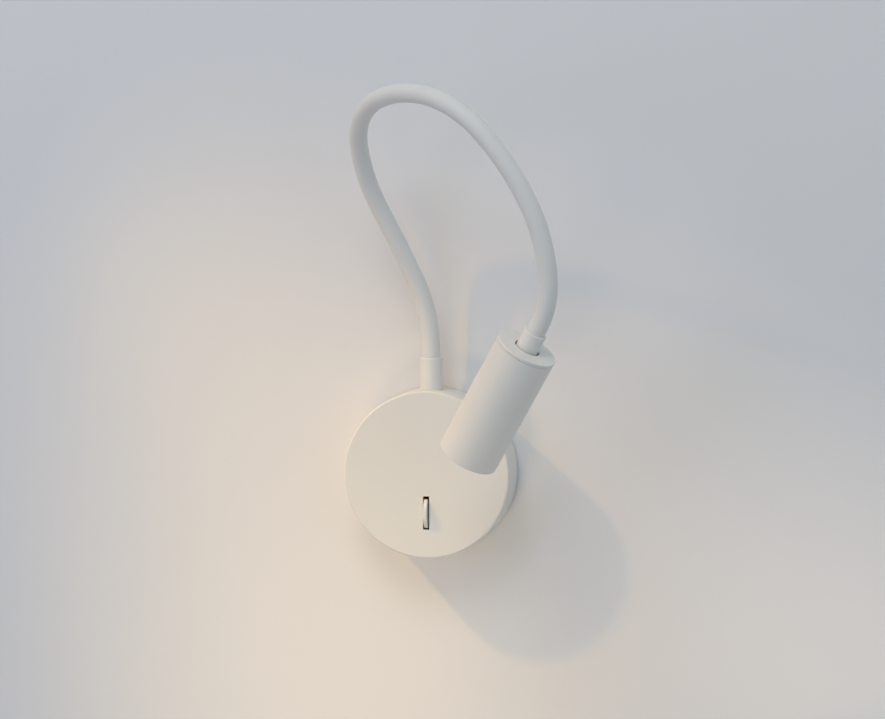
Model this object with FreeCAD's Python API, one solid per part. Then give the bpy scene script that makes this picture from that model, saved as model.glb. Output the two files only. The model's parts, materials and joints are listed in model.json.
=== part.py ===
import FreeCAD, Part
import math
import os

# Bedside wall reading lamp: a round base on the wall, a flexible neck that stays
# where it is bent, and a small LED head. Millimetres. The wall is the plane y = 0,
# the lamp stands out of it towards -Y, and +Z is up. The origin is on the wall,
# midway between the two screws that hold the base.

V = FreeCAD.Vector
X, Y, Z = V(1, 0, 0), V(0, 1, 0), V(0, 0, 1)
ORIGIN = V(0, 0, 0)

# ---- base ----
BASE_D = 80.0            # across the round cover
BASE_DEPTH = 25.0        # from the wall to the front face
BASE_WALL = 2.0          # rim of the cover
FACE_T = 2.0             # front of the cover
FACE_EDGE_R = 1.0        # rounding where the front meets the rim
COVER_OFF_WALL = 0.8     # the cover's back edge stays clear of the wall
PLATE_T = 1.5            # steel plate on the wall
PLATE_FIT = 0.4          # between the plate's edge and the rim
WALL_SCREW_PITCH = 50.0  # between the two slotted holes
WALL_SCREW_R = 2.25
WALL_SLOT_L = 9.0

# ---- cover screw and its tab on the plate ----
M3_R = 1.5
TAB_W = 10.0
TAB_T = 1.5
TAB_REACH = 16.0         # how far the tab stands off the wall
TAB_FIT = 0.8            # between the tab and the rim
GRUB_L = 6.5
GRUB_SINK = 0.4          # below the rim's surface
GRUB_FIT = 0.05
HEX_KEY_R = 0.85
HEX_KEY_DEEP = 2.0

# ---- cable entry in the plate ----
ENTRY_X, ENTRY_Z = -17.0, -17.0
ENTRY_BORE_R = 4.0
GROMMET_WALL = 1.4
GROMMET_LIP = 2.0
GROMMET_LIP_T = 1.5
GROMMET_FIT = 0.05

# ---- neck ----
SLEEVE_R = 4.25          # soft sleeve, outside
SLEEVE_T = 1.25
CORE_FIT = 0.05          # between sleeve and steel core
CORE_T = 0.95
LEAD_R = 1.5             # two-core lead inside the core
LINK_L = 36.0            # neck length that turns as one
JOINT_GAP = 0.3          # between one link's ball end and the next one's cup
HEAD_LINK_L = 23.0       # bent stretch fixed to the head
HEAD_STRAIGHT = 10.0     # straight stretch into the head
FOOT_FREE = 3.0          # bare neck between the foot ferrule and the first joint
# A wire bender's list: the turn of each link, and how far the plane of the turn
# rolls about the neck before it. The last turn belongs to the head's own stretch.
TURNS = (26.0, 6.0, 31.0, 47.0, 31.0, 44.0, 19.0, 24.0, 31.0)
ROLL_ANGLES = (209.0, 49.0, 58.0, 6.0, -5.0, -2.0, -16.0, -15.0, 0.0)
LINKS = len(TURNS) - 1

# ---- fittings at the neck's foot ----
FERRULE_R = 5.25
FERRULE_SHOWN = 15.0     # ferrule outside the base
FERRULE_FIT = 0.05
FERRULE_EDGE_R = 0.4     # rounding of each ferrule's open end
NIPPLE_R = 4.0
NIPPLE_BORE_R = 2.2
NIPPLE_UP = 4.5          # thread above the rim
NIPPLE_DOWN = 11.0       # thread below the rim's top
THREAD_FIT = 0.05
NUT_T = 4.0
NUT_FLATS = 11.0
WASHER_R = 6.5
WASHER_T = 1.0
WASHER_SEAT = 2.6        # washer's face below the rim's top, clear of the rim's curve

# ---- switch ----
SWITCH_UP = 21.8         # slot's middle above the rim's lowest point
SLOT_L = 16.0
SLOT_W = 3.1
FIN_T = 1.7
FIN_CHORD = 13.4         # half-moon's length at the front face
FIN_OUT = 3.5            # how far it stands out
FIN_SPAN_DEG = 120.0     # of the half-moon's arc, its ends inside the slot
ROCKER_TILT = 5.0        # upper half out, as it stands
HUB_R = 1.7
HUB_W = 4.4
PIN_R = 0.8
PIN_FIT = 0.05
LEVER_W = 4.0
LEVER_L = 5.0            # behind the pivot
PLUNGER_R = 0.9
PLUNGER_REACH = 6.65     # plunger's tip behind the pivot
PLUNGER_FIT = 0.15
SPRING_ROOM_TOP = 1.9    # blind end of the pocket behind the pivot
SPRING_L = 1.5
SPRING_T = 0.3
HOUSING_L = 22.0
HOUSING_W = 10.0
HOUSING_DEEP = 14.0
HOUSING_T = 1.6
HOUSING_FLOOR = 2.0
STRIP_T = 0.5            # brass see-saw under the plunger
STRIP_L = 12.0
STRIP_W = 3.0
STRIP_GAP = 0.4          # between the plunger's tip and the see-saw
STRIP_TILT = 6.0
BLADE_T = 0.8
BLADE_W = 3.0
BLADE_GAP = 0.25
BLADE_TAIL = 4.5         # blades end this far behind the housing
CONTACT_ARM = 5.0        # fixed contact below the see-saw's middle

# ---- driver ----
DRIVER_W = 48.0
DRIVER_H = 19.0
DRIVER_DEEP = 15.5
DRIVER_GAP = 3.5         # between its top and the end of the neck's thread
DRIVER_T = 1.2
LID_FIT = 0.15
BOARD_T = 1.2
BOARD_FIT = 0.4
BOARD_UP = 2.5           # solder side above the case's floor
COIL_W = 12.0
COIL_H = 5.8
CAPACITOR_R = 4.0
CAPACITOR_L = 6.3
PART_X = 13.0            # coil and capacitor each side of the middle
RAIL_IN = 3.5            # board's rails inside the case's ends
RAIL_T = 1.2
RAIL_L = 9.5

# ---- terminal block, earth tag ----
POLES = 3
POLE_PITCH = 6.0
BLOCK_GAP = 1.5          # beside the switch's housing
BLOCK_RIM_GAP = 1.9      # between its lower corner and the cover's rim
BLOCK_H = 11.0
BLOCK_DEEP = 12.0
WIRE_DEEP = 8.0          # wires' height above the wall at the block
CLAMP_R = 2.0
CLAMP_T = 0.5
CLAMP_FIT = 0.05
CLAMP_SCREW_R = 1.2
CLAMP_SCREW_L = 4.0
CLAMP_SCREW_IN = 2.75    # from each end of the block
CLAMP_SCREW_FIT = 0.05
EARTH_EDGE = 4.4         # tag's screw inside the plate's edge
EARTH_DEG = -13.8        # round the plate from +X
TAG_R = 3.2
TAG_T = 0.8
TAG_TAIL = 5.0
TAG_TAIL_W = 3.0
PAN_HEAD_R = 2.7
PAN_HEAD_T = 1.8
EARTH_SCREW_FIT = 0.05
EARTH_SCREW_SINK = 0.4   # its end inside the plate's back

# ---- wires inside the base ----
WIRE_R = 0.8
WIRE_BEND = 2.5
WIRE_BEND_TIGHT = 1.25   # where a wire runs close round the switch
WIRE_HOLE_FIT = 0.3
SWITCH_WIRE_GAP = 2.5    # wire's middle beside the switch's housing

# ---- head ----
HEAD_R = 14.0
HEAD_L = 60.0
HEAD_WALL = 1.5
CAP_T = 1.5
CAP_SEAM = 0.15
CAP_SPIGOT_L = 3.0
CAP_SPIGOT_T = 1.2
CAP_HOLE_R = 6.0
CAP_EDGE = 0.2
HEAD_SLIDE = 0.1         # between what slides into the head and its bore
HEAD_FERRULE_R = 5.2
HEAD_FERRULE_SHOWN = 8.5
SLEEVE_SEAT = 3.0        # sleeve's end inside the head
FLANGE_AT = 6.0
FLANGE_T = 3.0
STUD_R = 3.0
STUD_L = 7.0
HEAD_NUT_T = 3.0
HEAD_NUT_FLATS = 10.0
SINK_L = 30.0
SINK_GAP = 0.2
SINK_BORE_R = 9.0
SINK_FRONT_T = 4.0
FLANGE_SCREW_RING = 10.7
FLANGE_SCREW_R = 1.0
FLANGE_SCREW_L = 8.0
LED_BOARD_R = 11.0
LED_BOARD_T = 1.2
LED_R = 4.5
LED_T = 0.8
LEAD_END = 30.0          # lead's sheath ends this far into the head
LED_WIRE_R = 0.5
LED_WIRE_OFF = 8.0
LED_WIRE_NEAR = 0.75     # off the lead's middle at its end
LED_WIRE_HOLE_R = 0.9
LED_WIRE_OUT = 1.2
REFLECTOR_T = 1.0
REFLECTOR_GAP = 0.2
RING_T = 2.0
RING_W = 2.0
RING_SINK = 0.5          # ring below the head's mouth
LENS_T = 2.0
LENS_GAP = 0.1

EDGE_TOLERANCE = 0.01    # when an edge is picked by its height

# ---- worked out ----
BASE_R = BASE_D / 2
RIM_R = BASE_R - BASE_WALL
PLATE_R = RIM_R - PLATE_FIT
FACE_Y = -BASE_DEPTH
FACE_BACK_Y = FACE_Y + FACE_T
NECK_Y = -BASE_DEPTH / 2
NECK_FOOT_Z = BASE_R + FERRULE_SHOWN + FOOT_FREE
SLEEVE_FOOT_Z = BASE_R + NIPPLE_UP
SLEEVE_BORE_R = SLEEVE_R - SLEEVE_T
CORE_R = SLEEVE_BORE_R - CORE_FIT
CORE_BORE_R = CORE_R - CORE_T
CUP_R = SLEEVE_R + JOINT_GAP
SWITCH_Z = SWITCH_UP - BASE_R
FIN_R = (FIN_CHORD ** 2 / 4 + FIN_OUT ** 2) / (2 * FIN_OUT)
PIVOT = V(0, FACE_Y + FIN_R - FIN_OUT, SWITCH_Z)
TIP_Y = PIVOT.y + PLUNGER_REACH
STRIP_Y = TIP_Y + STRIP_GAP + STRIP_T
HOUSING_BACK_Y = FACE_BACK_Y + HOUSING_DEEP
LOW_WIRE_Y = HOUSING_BACK_Y + BLADE_TAIL / 2
SWITCH_LIVE_X = -HOUSING_W / 2 - SWITCH_WIRE_GAP
DRIVER_BACK_Y = -PLATE_T
DRIVER_LOW = BASE_R - NIPPLE_DOWN - DRIVER_GAP - DRIVER_H
BOARD_Y = DRIVER_BACK_Y - DRIVER_T - BOARD_UP
BLOCK_W = POLES * POLE_PITCH
BLOCK_X = HOUSING_W / 2 + BLOCK_GAP + BLOCK_W / 2
BLOCK_LOW = -math.sqrt((RIM_R - BLOCK_RIM_GAP) ** 2 - (BLOCK_X + BLOCK_W / 2) ** 2)
BLOCK_TOP = BLOCK_LOW + BLOCK_H
TAB_Z = -RIM_R + TAB_FIT
EARTH_X = (PLATE_R - EARTH_EDGE) * math.cos(math.radians(EARTH_DEG))
EARTH_Z = (PLATE_R - EARTH_EDGE) * math.sin(math.radians(EARTH_DEG))
BORE_R = HEAD_R - HEAD_WALL
SLUG_R = BORE_R - HEAD_SLIDE
SINK_AT = FLANGE_AT + FLANGE_T + SINK_GAP
SINK_END = SINK_AT + SINK_L
LED_AT = SINK_END + LED_BOARD_T
RING_AT = HEAD_L - RING_SINK - RING_T
LENS_AT = RING_AT - LENS_GAP - LENS_T
POLE_XS = [BLOCK_X + (i - (POLES - 1) / 2) * POLE_PITCH for i in range(POLES)]


# ---- plain shapes ----
def rod(radius, length, start=ORIGIN, along=Z):
    """Round bar from start."""
    return Part.makeCylinder(radius, length, start, along)


def pipe(outer, inner, length, start=ORIGIN, along=Z):
    """Round tube from start."""
    return rod(outer, length, start, along).cut(rod(inner, length, start, along))


def block(low, high):
    """Box between two opposite corners."""
    size = high.sub(low)
    return Part.makeBox(size.x, size.y, size.z, low)


def slab(width, height, y_from, y_to, x=0.0, z=0.0):
    """Box centred on x and z, between two distances from the wall."""
    near, far = min(y_from, y_to), max(y_from, y_to)
    return block(V(x - width / 2, near, z - height / 2), V(x + width / 2, far, z + height / 2))


def outline(corners):
    """Face inside a closed outline of straight lines."""
    return Part.Face(Part.makePolygon(list(corners) + [corners[0]]))


def hexagon(flats, height, start=ORIGIN, along=Z):
    """Hexagonal bar, as a nut's outside."""
    corners = [
        V(flats / math.sqrt(3) * math.cos(math.radians(60 * i)),
          flats / math.sqrt(3) * math.sin(math.radians(60 * i)), 0)
        for i in range(6)
    ]
    bar = outline(corners).extrude(V(0, 0, height))
    bar.Placement = FreeCAD.Placement(start, FreeCAD.Rotation(Z, along))
    return bar


def nut(flats, height, bore, start=ORIGIN, along=Z):
    """Plain hexagonal nut."""
    return hexagon(flats, height, start, along).cut(rod(bore, height, start, along))


def joined(shapes):
    """One solid of several that touch."""
    return shapes[0].fuse(shapes[1:]).removeSplitter()


def group(shapes):
    """Separate solids of one kind, kept together."""
    return Part.makeCompound(shapes)


def round_edges(solid, height, radius):
    """Circular edges at a height along Z that are wider than a radius."""
    return [edge for edge in solid.Edges
            if abs(edge.BoundBox.ZMin - height) < EDGE_TOLERANCE and edge.BoundBox.XLength > 2 * radius]


def wire_run(points, radius, bend):
    """Round wire through the points, with an arc of the given bend at each inner one."""
    runs, start = [], points[0]
    for here, corner, after in zip(points, points[1:], points[2:]):
        back = here.sub(corner).normalize()
        ahead = after.sub(corner).normalize()
        reach = bend / math.tan(back.getAngle(ahead) / 2)
        into, out = corner + back * reach, corner + ahead * reach
        middle = corner + (back + ahead).normalize() * (bend / math.sin(back.getAngle(ahead) / 2))
        crown = middle + (corner - middle).normalize() * bend
        runs += [Part.LineSegment(start, into), Part.Arc(into, crown, out)]
        start = out
    runs.append(Part.LineSegment(start, points[-1]))
    path = Part.Wire([run.toShape() for run in runs])
    ring = Part.Wire([Part.Circle(points[0], points[1].sub(points[0]), radius).toShape()])
    return path.makePipeShell([ring], True, True)


# ---- neck ----
def bend_radius(length, turn):
    return length / math.radians(turn)


def bent_bar(radius, length, turn):
    """Round bar from the origin along +Z that turns towards +X."""
    disc = Part.Face(Part.Wire([Part.Circle(ORIGIN, Z, radius).toShape()]))
    return disc.revolve(V(bend_radius(length, turn), 0, 0), Y, turn)


def bent_end(length, turn):
    """Where such a bar ends, and which way it then points."""
    bend, angle = bend_radius(length, turn), math.radians(turn)
    end = V(bend * (1 - math.cos(angle)), 0, bend * math.sin(angle))
    return FreeCAD.Placement(end, FreeCAD.Rotation(Y, turn))


def link_lengths():
    return [LINK_L] * LINKS + [HEAD_LINK_L]


def neck_frames():
    """The start of each link: +Z along the neck, and +X the way the link turns."""
    frames = []
    at = FreeCAD.Placement(V(0, NECK_Y, NECK_FOOT_Z), FreeCAD.Rotation())
    for length, turn, roll in zip(link_lengths(), TURNS, ROLL_ANGLES):
        at = at.multiply(FreeCAD.Placement(ORIGIN, FreeCAD.Rotation(Z, roll)))
        frames.append(at)
        at = at.multiply(bent_end(length, turn))
    return frames, at


def head_frame():
    """The middle of the head's back face: +Z towards the head's mouth."""
    return neck_frames()[1].multiply(FreeCAD.Placement(V(0, 0, HEAD_STRAIGHT), FreeCAD.Rotation()))


def ball_end(radius):
    """Rounded end of a link, centred on the joint."""
    return rod(radius, SLEEVE_R).common(Part.makeSphere(SLEEVE_R))


def link(outer, inner, number):
    """Tube of one link, with a cup at its start and a ball at its end."""
    turn = TURNS[number]
    end = bent_end(LINK_L, turn)
    bars = []
    for radius in (outer, inner):
        tip = ball_end(radius)
        tip.Placement = end
        bars.append(joined([bent_bar(radius, LINK_L, turn), tip]))
    solid = bars[0].cut([bars[1], Part.makeSphere(CUP_R)])
    solid.Placement = neck_frames()[0][number]
    return solid


def foot_stretch(outer, inner):
    """Tube of the neck's foot, fixed to the base, with a ball at its top."""
    length = NECK_FOOT_Z - SLEEVE_FOOT_Z
    bars = []
    for radius in (outer, inner):
        bars.append(joined([rod(radius, length, V(0, 0, -length)), ball_end(radius)]))
    solid = bars[0].cut(bars[1])
    solid.translate(V(0, NECK_Y, NECK_FOOT_Z))
    return solid


def head_stretch(outer, inner):
    """Tube of the neck's last stretch, fixed to the head, with a cup at its start."""
    end = bent_end(HEAD_LINK_L, TURNS[-1])
    bars = []
    for radius in (outer, inner):
        tail = rod(radius, HEAD_STRAIGHT + SLEEVE_SEAT)
        tail.Placement = end
        bars.append(joined([bent_bar(radius, HEAD_LINK_L, TURNS[-1]), tail]))
    solid = bars[0].cut([bars[1], Part.makeSphere(CUP_R)])
    solid.Placement = neck_frames()[0][-1]
    return solid


def lamp_lead():
    """Lead from the driver's board, up the neck and down to the middle of the head."""
    frames, _ = neck_frames()
    board_front = BOARD_Y - BOARD_T
    low = DRIVER_LOW + DRIVER_T + WIRE_BEND * 2
    pieces = []
    for number, (length, turn) in enumerate(zip(link_lengths(), TURNS)):
        bar = bent_bar(LEAD_R, length, turn)
        bar.Placement = frames[number]
        pieces.append(bar)
    tail = rod(LEAD_R, HEAD_STRAIGHT + LEAD_END, V(0, 0, -HEAD_STRAIGHT))
    tail.Placement = head_frame()
    corner = V(0, NECK_Y, low)
    top = V(0, NECK_Y, NECK_FOOT_Z)
    rise = wire_run([V(0, board_front, low), corner, top], LEAD_R, WIRE_BEND)
    return joined([rise] + pieces + [tail])


def foot_ferrule():
    """Collar round the neck's foot, its lower end shaped to the round rim."""
    height = FERRULE_SHOWN
    start = V(0, NECK_Y, BASE_R - BASE_WALL)
    collar = rod(FERRULE_R, height + BASE_WALL, start)
    collar = collar.makeFillet(FERRULE_EDGE_R, round_edges(collar, BASE_R + height, SLEEVE_R))
    thread = rod(NIPPLE_R + THREAD_FIT, NIPPLE_UP + BASE_WALL, start)
    socket = rod(SLEEVE_R + FERRULE_FIT, height, V(0, NECK_Y, SLEEVE_FOOT_Z))
    rim = rod(BASE_R + FERRULE_FIT, BASE_DEPTH, ORIGIN, -Y)
    return collar.cut([thread, socket, rim])


def neck_nipple():
    """Threaded tube through the rim, which the neck's core is pressed on to."""
    start = V(0, NECK_Y, BASE_R - NIPPLE_DOWN)
    return pipe(NIPPLE_R, NIPPLE_BORE_R, NIPPLE_DOWN + NIPPLE_UP, start)


def neck_washer():
    start = V(0, NECK_Y, BASE_R - WASHER_SEAT - WASHER_T)
    return pipe(WASHER_R, NIPPLE_R + THREAD_FIT, WASHER_T, start)


def neck_nut():
    start = V(0, NECK_Y, BASE_R - WASHER_SEAT - WASHER_T - NUT_T)
    return nut(NUT_FLATS, NUT_T, NIPPLE_R + THREAD_FIT, start)


# ---- base ----
def wall_slot(x):
    """Slotted hole for a wall screw, its length along X."""
    half = WALL_SLOT_L / 2 - WALL_SCREW_R
    ends = [rod(WALL_SCREW_R, PLATE_T, V(x + side * half, 0, 0), -Y) for side in (-1, 1)]
    return joined([slab(2 * half, 2 * WALL_SCREW_R, 0, -PLATE_T, x)] + ends)


def wall_plate():
    """Steel plate with two slotted holes, the cable hole, and a bent tab for the cover's screw."""
    disc = rod(PLATE_R, PLATE_T, ORIGIN, -Y)
    tab = block(V(-TAB_W / 2, -TAB_REACH, TAB_Z), V(TAB_W / 2, 0, TAB_Z + TAB_T))
    plate = joined([disc, tab])
    cuts = [wall_slot(side * WALL_SCREW_PITCH / 2) for side in (-1, 1)]
    cuts.append(rod(ENTRY_BORE_R + GROMMET_WALL + GROMMET_FIT, PLATE_T, V(ENTRY_X, 0, ENTRY_Z), -Y))
    cuts.append(rod(M3_R + EARTH_SCREW_FIT, PLATE_T, V(EARTH_X, 0, EARTH_Z), -Y))
    cuts.append(rod(M3_R + GRUB_FIT, TAB_T, V(0, NECK_Y, TAB_Z)))
    return plate.cut(cuts)


def base_cover():
    """Round aluminium cup, with the neck's hole in its rim and the switch's slot in its front."""
    cup = rod(BASE_R, BASE_DEPTH - COVER_OFF_WALL, V(0, -COVER_OFF_WALL, 0), -Y)
    front = [edge for edge in cup.Edges if abs(edge.BoundBox.YMax - FACE_Y) < EDGE_TOLERANCE]
    cup = cup.makeFillet(FACE_EDGE_R, front)
    hollow = rod(RIM_R, BASE_DEPTH - FACE_T, ORIGIN, -Y)
    neck_hole = rod(NIPPLE_R + THREAD_FIT, BASE_R, V(0, NECK_Y, 0))
    screw_hole = rod(M3_R + GRUB_FIT, BASE_R, V(0, NECK_Y, 0), -Z)
    slot = slab(SLOT_W, SLOT_L, FACE_Y, FACE_BACK_Y, 0, SWITCH_Z)
    return cup.cut([hollow, neck_hole, screw_hole, slot])


def cover_screw():
    """Grub screw through the bottom of the rim into the plate's tab."""
    foot = V(0, NECK_Y, -BASE_R + GRUB_SINK)
    key = hexagon(HEX_KEY_R * 2, HEX_KEY_DEEP, foot)
    return rod(M3_R, GRUB_L, foot).cut(key)


def cable_grommet():
    """Soft ring that lines the cable hole, with its lip on the inner side."""
    centre = V(ENTRY_X, 0, ENTRY_Z)
    sleeve_r = ENTRY_BORE_R + GROMMET_WALL
    neck = rod(sleeve_r, PLATE_T, centre, -Y)
    lip = rod(sleeve_r + GROMMET_LIP, GROMMET_LIP_T, centre + V(0, -PLATE_T, 0), -Y)
    return joined([neck, lip]).cut(rod(ENTRY_BORE_R, PLATE_T + GROMMET_LIP_T, centre, -Y))


def terminal_block():
    """Plastic block with a metal clamp for each pole."""
    body = slab(BLOCK_W, BLOCK_H, -PLATE_T, -PLATE_T - BLOCK_DEEP, BLOCK_X, BLOCK_LOW + BLOCK_H / 2)
    cuts = []
    for x in POLE_XS:
        cuts.append(rod(CLAMP_R + CLAMP_FIT, BLOCK_H, V(x, -WIRE_DEEP, BLOCK_LOW)))
        cuts += [rod(CLAMP_SCREW_R + CLAMP_FIT, BLOCK_DEEP, spot, -Y) for spot in clamp_spots(x)]
    return body.cut(cuts)


def clamp_spots(x):
    """Where the two screws of a clamp meet the wire."""
    return [V(x, -WIRE_DEEP, z) for z in (BLOCK_LOW + CLAMP_SCREW_IN, BLOCK_TOP - CLAMP_SCREW_IN)]


def terminal_clamps():
    """Brass tubes that hold the wires."""
    clamps = []
    for x in POLE_XS:
        start = V(x, -WIRE_DEEP, BLOCK_LOW)
        tube = pipe(CLAMP_R, CLAMP_R - CLAMP_T, BLOCK_H, start)
        holes = [rod(CLAMP_SCREW_R + CLAMP_SCREW_FIT, BLOCK_DEEP, spot, -Y) for spot in clamp_spots(x)]
        clamps.append(tube.cut(holes))
    return group(clamps)


def terminal_screws():
    """Two screws in each clamp, reached from the front."""
    start = V(0, -(CLAMP_R - CLAMP_T), 0)
    spots = [spot + start for x in POLE_XS for spot in clamp_spots(x)]
    return group([rod(CLAMP_SCREW_R, CLAMP_SCREW_L, spot, -Y) for spot in spots])


def earth_tag():
    """Ring tag on the plate, its tail bent up to take the earth wire."""
    face = V(EARTH_X, -PLATE_T, EARTH_Z)
    ring = rod(TAG_R, TAG_T, face, -Y)
    tail = slab(TAG_TAIL_W, TAG_TAIL, -PLATE_T, -PLATE_T - TAG_T, EARTH_X, EARTH_Z + TAG_TAIL / 2)
    return joined([ring, tail]).cut(rod(M3_R + EARTH_SCREW_FIT, TAG_T, face, -Y))


def earth_screw():
    """Screw through the tag into the plate, ending inside the plate."""
    head_y = -PLATE_T - TAG_T
    shank = rod(M3_R, -head_y - EARTH_SCREW_SINK, V(EARTH_X, head_y, EARTH_Z), Y)
    head = rod(PAN_HEAD_R, PAN_HEAD_T, V(EARTH_X, head_y, EARTH_Z), -Y)
    return joined([shank, head])


# ---- driver ----
def driver_room(shrink, y_from, y_to):
    """Box in line with the driver's case, smaller by shrink on each side."""
    width, height = DRIVER_W - 2 * shrink, DRIVER_H - 2 * shrink
    return slab(width, height, y_from, y_to, 0, DRIVER_LOW + DRIVER_H / 2)


def driver_case():
    """Open plastic box, with holes for the wires in and the lead out."""
    case = driver_room(0, DRIVER_BACK_Y, DRIVER_BACK_Y - DRIVER_DEEP)
    inside = driver_room(DRIVER_T, DRIVER_BACK_Y - DRIVER_T, DRIVER_BACK_Y - DRIVER_DEEP)
    wire_r = WIRE_R + WIRE_HOLE_FIT
    cuts = [inside, rod(LEAD_R + WIRE_HOLE_FIT, DRIVER_H, V(0, NECK_Y, DRIVER_LOW + DRIVER_T))]
    for x in (SWITCH_LIVE_X, POLE_XS[1]):
        cuts.append(rod(wire_r, DRIVER_T, V(x, -WIRE_DEEP, DRIVER_LOW)))
    return case.cut(cuts)


def driver_lid():
    """Plate let into the open side of the case."""
    front = DRIVER_BACK_Y - DRIVER_DEEP
    return driver_room(DRIVER_T + LID_FIT, front, front + DRIVER_T)


def driver_board():
    """Circuit board on two rails moulded across it."""
    board = driver_room(DRIVER_T + BOARD_FIT, BOARD_Y, BOARD_Y - BOARD_T)
    rails = [
        slab(RAIL_T, RAIL_L, DRIVER_BACK_Y - DRIVER_T, BOARD_Y, side * (DRIVER_W / 2 - RAIL_IN),
             DRIVER_LOW + DRIVER_H / 2)
        for side in (-1, 1)
    ]
    return joined([board] + rails)


def driver_coil():
    """Wound transformer on the board."""
    front = BOARD_Y - BOARD_T
    return slab(COIL_W, COIL_W, front, front - COIL_H, -PART_X, DRIVER_LOW + DRIVER_H / 2)


def driver_capacitor():
    """Round capacitor on the board, its top clear of the lid."""
    foot = V(PART_X, BOARD_Y - BOARD_T, DRIVER_LOW + DRIVER_H / 2)
    return rod(CAPACITOR_R, CAPACITOR_L, foot, -Y)


# ---- switch ----
def switch_housing():
    """Plastic box behind the slot, open to it, with blade slots in its floor."""
    box = slab(HOUSING_W, HOUSING_L, FACE_BACK_Y, HOUSING_BACK_Y, 0, SWITCH_Z)
    room_w, room_l = HOUSING_W - 2 * HOUSING_T, HOUSING_L - 2 * HOUSING_T
    room = slab(room_w, room_l, FACE_BACK_Y, HOUSING_BACK_Y - HOUSING_FLOOR, 0, SWITCH_Z)
    pin_hole = rod(PIN_R + PIN_FIT, HOUSING_W, PIVOT - X * (HOUSING_W / 2), X)
    blades = [
        slab(BLADE_W + PIN_FIT, BLADE_T + PIN_FIT, HOUSING_BACK_Y - HOUSING_FLOOR, HOUSING_BACK_Y, 0, z)
        for z in blade_heights()
    ]
    return box.cut([room, pin_hole] + blades)


def blade_heights():
    """The see-saw's support, and the contact that its lower end closes."""
    return [SWITCH_Z, SWITCH_Z - CONTACT_ARM]


def blade_tops():
    """Where each blade ends under the see-saw, the second clear of it until it closes."""
    drop = CONTACT_ARM * math.tan(math.radians(STRIP_TILT))
    return [STRIP_Y + BLADE_GAP, STRIP_Y + BLADE_GAP + drop]


def switch_blades():
    """Brass blades through the housing's floor."""
    end = HOUSING_BACK_Y + BLADE_TAIL
    return group([slab(BLADE_W, BLADE_T, top, end, 0, z) for z, top in zip(blade_heights(), blade_tops())])


def switch_pin():
    """Steel pin that the rocker turns on."""
    return rod(PIN_R, HOUSING_W, PIVOT - X * (HOUSING_W / 2), X)


def tilted(shape, angle, centre):
    """Turned about an axis along X."""
    shape.rotate(centre, X, angle)
    return shape


def fin_outline():
    """Half-moon about the pivot, its flanks drawn in to the hub behind the front."""
    back_z, back_y = LEVER_W / 2, PIVOT.y + LEVER_L
    half = math.radians(FIN_SPAN_DEG / 2)
    front, end_z = PIVOT.y - FIN_R * math.cos(half), FIN_R * math.sin(half)
    top, bottom = V(0, front, SWITCH_Z + end_z), V(0, front, SWITCH_Z - end_z)
    crown = V(0, FACE_Y - FIN_OUT, SWITCH_Z)
    corners = [bottom, V(0, PIVOT.y, SWITCH_Z - back_z), V(0, back_y, SWITCH_Z - back_z),
               V(0, back_y, SWITCH_Z + back_z), V(0, PIVOT.y, SWITCH_Z + back_z), top]
    edges = [Part.Arc(top, crown, bottom).toShape()]
    edges += [Part.LineSegment(a, b).toShape() for a, b in zip(corners, corners[1:])]
    return Part.Face(Part.Wire(edges))


def rocker():
    """Switch lever: half-moon fin, hub, and an arm with the plunger's pocket."""
    fin = fin_outline()
    fin.translate(X * (-FIN_T / 2))
    body = fin.extrude(X * FIN_T)
    hub = rod(HUB_R, HUB_W, PIVOT - X * (HUB_W / 2), X)
    arm = slab(HUB_W, LEVER_W, PIVOT.y, PIVOT.y + LEVER_L, 0, SWITCH_Z)
    pin_hole = rod(PIN_R + PIN_FIT, HUB_W, PIVOT - X * (HUB_W / 2), X)
    pocket = rod(PLUNGER_R + PLUNGER_FIT, LEVER_L, PIVOT + Y * SPRING_ROOM_TOP, Y)
    return tilted(joined([body, hub, arm]).cut([pin_hole, pocket]), ROCKER_TILT, PIVOT)


def rocker_spring():
    """Coil spring in the pocket, as a plain sleeve of its outer size."""
    spring = pipe(PLUNGER_R, PLUNGER_R - SPRING_T, SPRING_L, PIVOT + Y * SPRING_ROOM_TOP, Y)
    return tilted(spring, ROCKER_TILT, PIVOT)


def rocker_plunger():
    """Round-nosed plunger that the spring pushes on to the see-saw."""
    start = SPRING_ROOM_TOP + SPRING_L
    shank = rod(PLUNGER_R, PLUNGER_REACH - PLUNGER_R - start, PIVOT + Y * start, Y)
    nose = Part.makeSphere(PLUNGER_R, PIVOT + Y * (PLUNGER_REACH - PLUNGER_R))
    return tilted(joined([shank, nose]), ROCKER_TILT, PIVOT)


def strip_pivot():
    return V(0, STRIP_Y, SWITCH_Z)


def switch_contact():
    """Brass see-saw, tipped the other way from the rocker."""
    strip = slab(STRIP_W, STRIP_L, STRIP_Y - STRIP_T, STRIP_Y, 0, SWITCH_Z)
    return tilted(strip, -STRIP_TILT, strip_pivot())


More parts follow.
